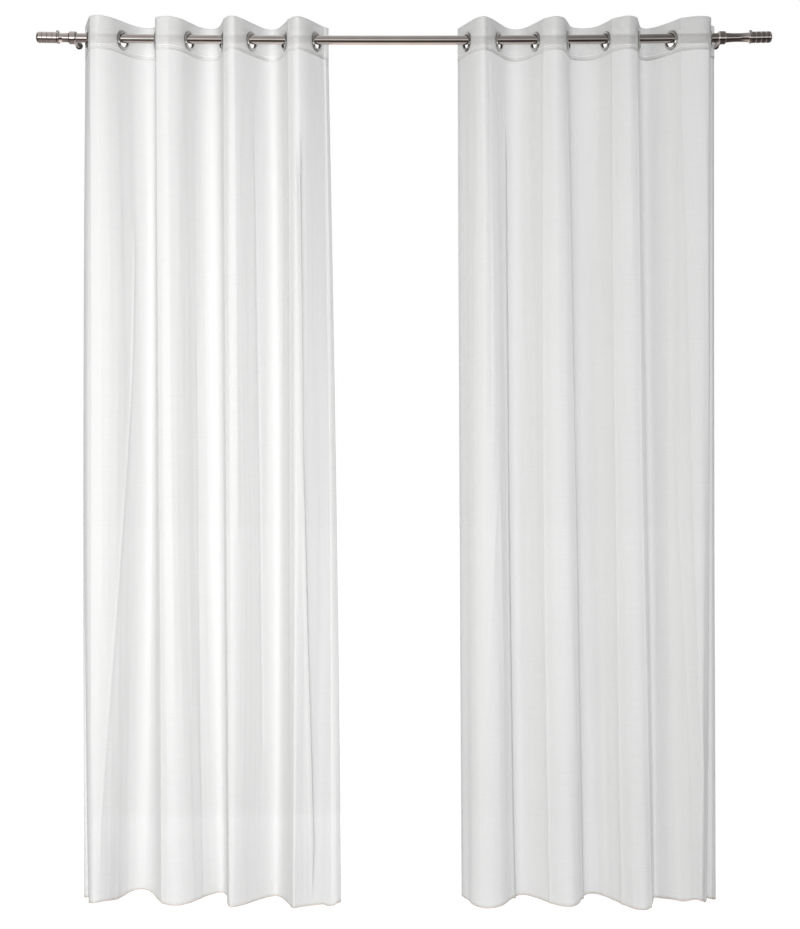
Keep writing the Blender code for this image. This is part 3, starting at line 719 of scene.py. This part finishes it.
def voile_finish(name, colour, openness, stitches, turned=()):
    """Plain woven sheer cloth. It lets part of what is behind show through, less where it is
    seen at a slant, and scatters the rest to both sides. Stitched rows are whiter and denser,
    and the edges turned to the back are pressed thin."""
    cloth = bpy.data.materials.new(name)
    cloth.use_nodes = True
    tree = cloth.node_tree
    tree.nodes.clear()
    link = tree.links.new

    def node(kind, **sockets):
        made = tree.nodes.new(kind)
        for socket, value in sockets.items():
            made.inputs[socket].default_value = value
        return made

    def maths(operation, a, b=None):
        made = tree.nodes.new("ShaderNodeMath")
        made.operation = operation
        for socket, value in zip(made.inputs, (a, b)):
            if isinstance(value, (int, float)):
                socket.default_value = value
            elif value is not None:
                link(value, socket)
        return made.outputs[0]

    flat = tree.nodes.new("ShaderNodeUVMap")
    flat.uv_map = "flat_cloth"
    split = tree.nodes.new("ShaderNodeSeparateXYZ")
    link(flat.outputs[0], split.inputs[0])
    u, v = split.outputs["X"], split.outputs["Y"]

    # threads of the weave, a little under 0.6 mm apart each way
    warp = maths("SINE", maths("MULTIPLY", u, 2 * math.pi / WARP_PITCH))
    weft = maths("SINE", maths("MULTIPLY", v, 2 * math.pi / WEFT_PITCH))
    weave = maths("MULTIPLY", maths("ADD", warp, weft), 0.5)
    # thicker and thinner threads in stretches along the cloth, and down it
    streak = tree.nodes.new("ShaderNodeMapping")
    streak.inputs["Scale"].default_value = (9.0, 700.0, 1.0)
    slub = node("ShaderNodeTexNoise", Scale=1.0, Detail=3.0)
    link(flat.outputs[0], streak.inputs["Vector"])
    link(streak.outputs[0], slub.inputs["Vector"])
    fall = tree.nodes.new("ShaderNodeMapping")
    fall.inputs["Scale"].default_value = (500.0, 5.0, 1.0)
    rib = node("ShaderNodeTexNoise", Scale=1.0, Detail=3.0)
    link(flat.outputs[0], fall.inputs["Vector"])
    link(fall.outputs[0], rib.inputs["Vector"])
    patch = node("ShaderNodeTexNoise", Scale=5.0, Detail=3.0)
    link(flat.outputs[0], patch.inputs["Vector"])
    uneven = maths("ADD", maths("MULTIPLY", slub.outputs["Fac"], 0.16),
                   maths("ADD", maths("MULTIPLY", rib.outputs["Fac"], 0.16),
                         maths("MULTIPLY", patch.outputs["Fac"], 0.24)))
    layers = maths("ADD", maths("ADD", 0.72, uneven), maths("MULTIPLY", weave, 0.12))
    pinch = tree.nodes.new("ShaderNodeAttribute")
    pinch.attribute_name = "gathered"
    layers = maths("ADD", layers, pinch.outputs["Fac"])
    # each stitched row is a line of short stitches with a faint pucker between them
    sewn = None
    for row in stitches:
        line = maths("LESS_THAN", maths("ABSOLUTE", maths("SUBTRACT", v, row)),
                     STITCH_HALF_HEIGHT)
        sewn = line if sewn is None else maths("MAXIMUM", sewn, line)
    thread_ends = maths("GREATER_THAN",
                        maths("SINE", maths("MULTIPLY", u, 2 * math.pi / STITCH_LENGTH)), -0.6)
    sewn = maths("MULTIPLY", sewn, maths("ADD", 0.45, maths("MULTIPLY", thread_ends, 0.55)))
    layers = maths("ADD", layers, maths("MULTIPLY", sewn, 0.8))
    if turned:
        width, hem = turned
        side_edges = maths("MAXIMUM", maths("LESS_THAN", u, 0.0), maths("GREATER_THAN", u, width))
        edge = maths("MAXIMUM", side_edges, maths("LESS_THAN", v, hem))
        layers = maths("SUBTRACT", layers, maths("MULTIPLY", edge, TURNED_EDGE_THINNER))
        hem_face = maths("LESS_THAN", v, hem + BOTTOM_HEM)

    # the share that shows through: the more layers, and the more of a slant, the less
    slant = node("ShaderNodeLayerWeight", Blend=0.5)
    facing = maths("MAXIMUM", maths("SUBTRACT", 1.0, slant.outputs["Facing"]), 0.05)
    facing = maths("POWER", facing, 0.4)
    open_share = maths("POWER", openness, maths("DIVIDE", layers, facing))

    tone = tree.nodes.new("ShaderNodeMix")
    tone.data_type = "RGBA"
    tone.inputs["A"].default_value = (*[c * 0.95 for c in colour], 1.0)
    tone.inputs["B"].default_value = (*colour, 1.0)
    link(slub.outputs["Fac"], tone.inputs["Factor"])
    white = tree.nodes.new("ShaderNodeMix")
    white.data_type = "RGBA"
    white.inputs["B"].default_value = SEWN_WHITE
    link(tone.outputs["Result"], white.inputs["A"])
    link(sewn, white.inputs["Factor"])
    # painted shade: where a crease is pinched tight, the colour darkens towards half
    shade = tree.nodes.new("ShaderNodeMix")
    shade.data_type = "RGBA"
    shade.inputs["B"].default_value = (*[c * 0.50 for c in colour], 1.0)
    surface = white.outputs["Result"]
    if turned:
        warm = tree.nodes.new("ShaderNodeMix")
        warm.data_type = "RGBA"
        warm.inputs["B"].default_value = HEM_TINT
        link(surface, warm.inputs["A"])
        link(maths("MULTIPLY", hem_face, HEM_TINT_SHARE), warm.inputs["Factor"])
        surface = warm.outputs["Result"]
    link(surface, shade.inputs["A"])
    link(maths("MULTIPLY", pinch.outputs["Fac"], PINCH_SHADE), shade.inputs["Factor"])
    thread = node("ShaderNodeBsdfPrincipled", Roughness=0.62)
    thread.inputs["Specular IOR Level"].default_value = 0.30
    thread.inputs["Sheen Weight"].default_value = 0.15
    thread.inputs["Sheen Roughness"].default_value = 0.4
    link(shade.outputs["Result"], thread.inputs["Base Color"])
    glow = node("ShaderNodeBsdfTranslucent")
    link(shade.outputs["Result"], glow.inputs["Color"])
    relief = node("ShaderNodeBump", Strength=0.35, Distance=0.0003)
    link(maths("ADD", maths("MULTIPLY", weave, 0.6), sewn), relief.inputs["Height"])
    link(relief.outputs[0], thread.inputs["Normal"])
    fibre = node("ShaderNodeMixShader", Fac=0.45)
    link(thread.outputs[0], fibre.inputs[1])
    link(glow.outputs[0], fibre.inputs[2])
    gap = node("ShaderNodeBsdfTransparent")
    whole = node("ShaderNodeMixShader")
    link(open_share, whole.inputs[0])
    link(fibre.outputs[0], whole.inputs[1])
    link(gap.outputs[0], whole.inputs[2])
    output = tree.nodes.new("ShaderNodeOutputMaterial")
    link(whole.outputs[0], output.inputs["Surface"])
    return cloth


ACROSS = 861
DOWN = 96
EDGE_POINTS = 6
TUCKED_UNDER_HEADING = 0.008
LAYER_GAP = 0.0007
FINE_AT_HEM = 0.020
HEM_ROWS = np.array((1.0, 0.55, 0.25, 0.10, 0.0)) * BOTTOM_HEM
CLOTH_WIDTH = 2 * SIDE_MARGIN + 7 * EYELET_PITCH
voile_cloth = voile_finish("white_voile", (0.86, 0.86, 0.855), 0.37,
                           (HEM_Z + BOTTOM_HEM - 0.001,), turned=(CLOTH_WIDTH, HEM_Z - 0.0012))


def voile_panel(side, hanging):
    """One panel below the heading, its side and bottom hems turned to the back."""
    width = hanging.width
    turned = np.linspace(SIDE_HEM, 0.0, EDGE_POINTS)[:-1]
    field = np.linspace(0.0, width, ACROSS)
    u = np.concatenate((turned, field, width - turned[::-1]))
    flat_u = np.concatenate((-turned, field, width + turned[::-1]))
    behind_u = np.concatenate((np.ones(len(turned)), np.zeros(ACROSS), np.ones(len(turned))))
    top = HEADING_BOTTOM + TUCKED_UNDER_HEADING
    hem_rows = HEM_ROWS / (top - HEM_Z)
    down = np.concatenate((np.linspace(0.0, 1.0 - FINE_AT_HEM / (top - HEM_Z), DOWN),
                           1.0 - hem_rows, 1.0 - hem_rows[-2::-1]))
    rows = DOWN + len(hem_rows)
    behind_v = np.concatenate((np.zeros(rows), np.ones(len(hem_rows) - 1)))
    uu, dd = np.meshgrid(u, down)
    z = top + dd * (hanging.hem_height(uu) - top)
    offset = -LAYER_GAP * (behind_u[None, :] + behind_v[:, None])
    points = hanging.points(uu, z, offset)
    flat_v = np.concatenate((z[:rows, 0], 2 * z[rows - 1, 0] - z[rows:, 0]))
    uu_flat, vv_flat = np.meshgrid(flat_u, flat_v)
    panel = sheet_mesh(f"voile_{side}_sheet", uu_flat, vv_flat, points, len(u), len(down))
    pinch = panel.data.attributes.new("gathered", "FLOAT", "POINT")
    pinch.data.foreach_set("value", hanging.gathered(uu, z).reshape(-1).astype(np.float32))
    panel.data.materials.append(voile_cloth)
    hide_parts(f"voile_{side}")
    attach(panel, "root")
    return panel


left_hanging = Hanging(LEFT_LINES, LEFT_CREASES)
right_hanging = Hanging(RIGHT_LINES, RIGHT_CREASES)
voile_panel("left", left_hanging)
voile_panel("right", right_hanging)


# ------------------------------------------------------------------ headings
# The top of each panel is folded over a stiffening tape into a band 91 mm deep and stitched
# along its lower edge. Eight holes are punched through both layers for the eyelets.
heading_cloth = voile_finish("heading_voile", (0.95, 0.95, 0.945), 0.46,
                             [HEADING_BOTTOM + up for up in (0.0025, 0.0070, 0.0130)])
HEADING_ROWS = 31
HEADING_THICKNESS = 0.0013
HOLE_RADIUS = 0.0240
EYELET_DROP = 0.0052


def heading_band(side, hanging):
    """The folded band, its holes hidden under the eyelets' flanges."""
    width = hanging.width
    uu, zz = np.meshgrid(np.linspace(0.0, width, ACROSS),
                         np.linspace(HEADING_TOP, HEADING_BOTTOM, HEADING_ROWS))
    points = hanging.points(uu, zz, np.zeros_like(uu))
    band = sheet_mesh(f"heading_{side}_band", uu, zz, points, ACROSS, HEADING_ROWS)
    bpy.ops.object.select_all(action="DESELECT")
    band.select_set(True)
    bpy.context.view_layer.objects.active = band
    flat_points = np.stack((uu.reshape(-1), zz.reshape(-1)), axis=-1)
    shape = bmesh.new()
    shape.from_mesh(band.data)
    shape.faces.ensure_lookup_table()
    cut = []
    for face in shape.faces:
        middle = sum(flat_points[point.index] for point in face.verts) / 4
        for place in hanging.places[1:-1]:
            if math.hypot(middle[0] - place, middle[1] + EYELET_DROP) < HOLE_RADIUS:
                cut.append(face)
    bmesh.ops.delete(shape, geom=cut, context="FACES")
    shape.to_mesh(band.data)
    shape.free()
    double = band.modifiers.new("two_layers", "SOLIDIFY")
    double.thickness = HEADING_THICKNESS
    double.offset = 0.0
    bpy.ops.object.modifier_apply(modifier="two_layers")
    band.data.materials.append(heading_cloth)
    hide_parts(f"heading_{side}")
    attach(band, "root")


heading_band("left", left_hanging)
heading_band("right", right_hanging)


# ------------------------------------------------------------------ eyelets
# Each is a pair of pressed metal rings that snap together through the heading: a rounded bead
# round the 37 mm opening, and a flat flange that grips the cloth. The bore and the flange's outer
# edge are darkened, a painted shade.
bright_plate = plated_metal("bright_plate", (0.70, 0.70, 0.68), 0.085, 0.03, painted_shade=True)
eyelet_half = [(0.0185, 0.0), (0.0186, 0.0016), (0.0190, 0.0030), (0.0198, 0.0040),
               (0.0209, 0.0045), (0.0221, 0.0042), (0.0230, 0.0033), (0.0236, 0.0026),
               (0.0247, 0.0024), (0.0259, 0.0023), (0.0267, 0.0019), (0.0271, 0.0012),
               (0.0272, 0.0)]
eyelet_profile = eyelet_half + [(radius, -length)
                                for radius, length in reversed(eyelet_half[1:-1])]
# painted shade: outside these radii, in the bore and at the flange's outer edge, the colour is
# darkened
UNSHADED_FROM, UNSHADED_TO = 0.0188, 0.0270
eyelet_pattern = turned_piece("eyelet_ring", eyelet_profile, 48, ring=True)
painted_shade = eyelet_pattern.data.attributes.new("painted_shade", "FLOAT", "POINT")
for number, point in enumerate(eyelet_pattern.data.vertices):
    radius = math.hypot(point.co.x, point.co.y)
    painted_shade.data[number].value = 0.0 if UNSHADED_FROM <= radius <= UNSHADED_TO else 1.0

for side, lines in (("left", LEFT_LINES), ("right", RIGHT_LINES)):
    for number, line in enumerate(lines[1:-1], start=1):
        ring = copy_of(eyelet_pattern, f"eyelet_{side}_{number}_ring")
        x, turn = line[0], math.radians(line[2])
        lay = Matrix.Rotation(turn, 4, "Z") @ Matrix.Rotation(math.radians(90), 4, "X")
        set_in_place(ring, Matrix.Translation((x, -ROD_STANDOFF, -EYELET_DROP - rod_drop(x))) @ lay,
                     45.0)
        ring.data.materials.append(bright_plate)
        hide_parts(f"eyelet_{side}_{number}")
        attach(ring, "root")
bpy.data.objects.remove(eyelet_pattern, do_unlink=True)
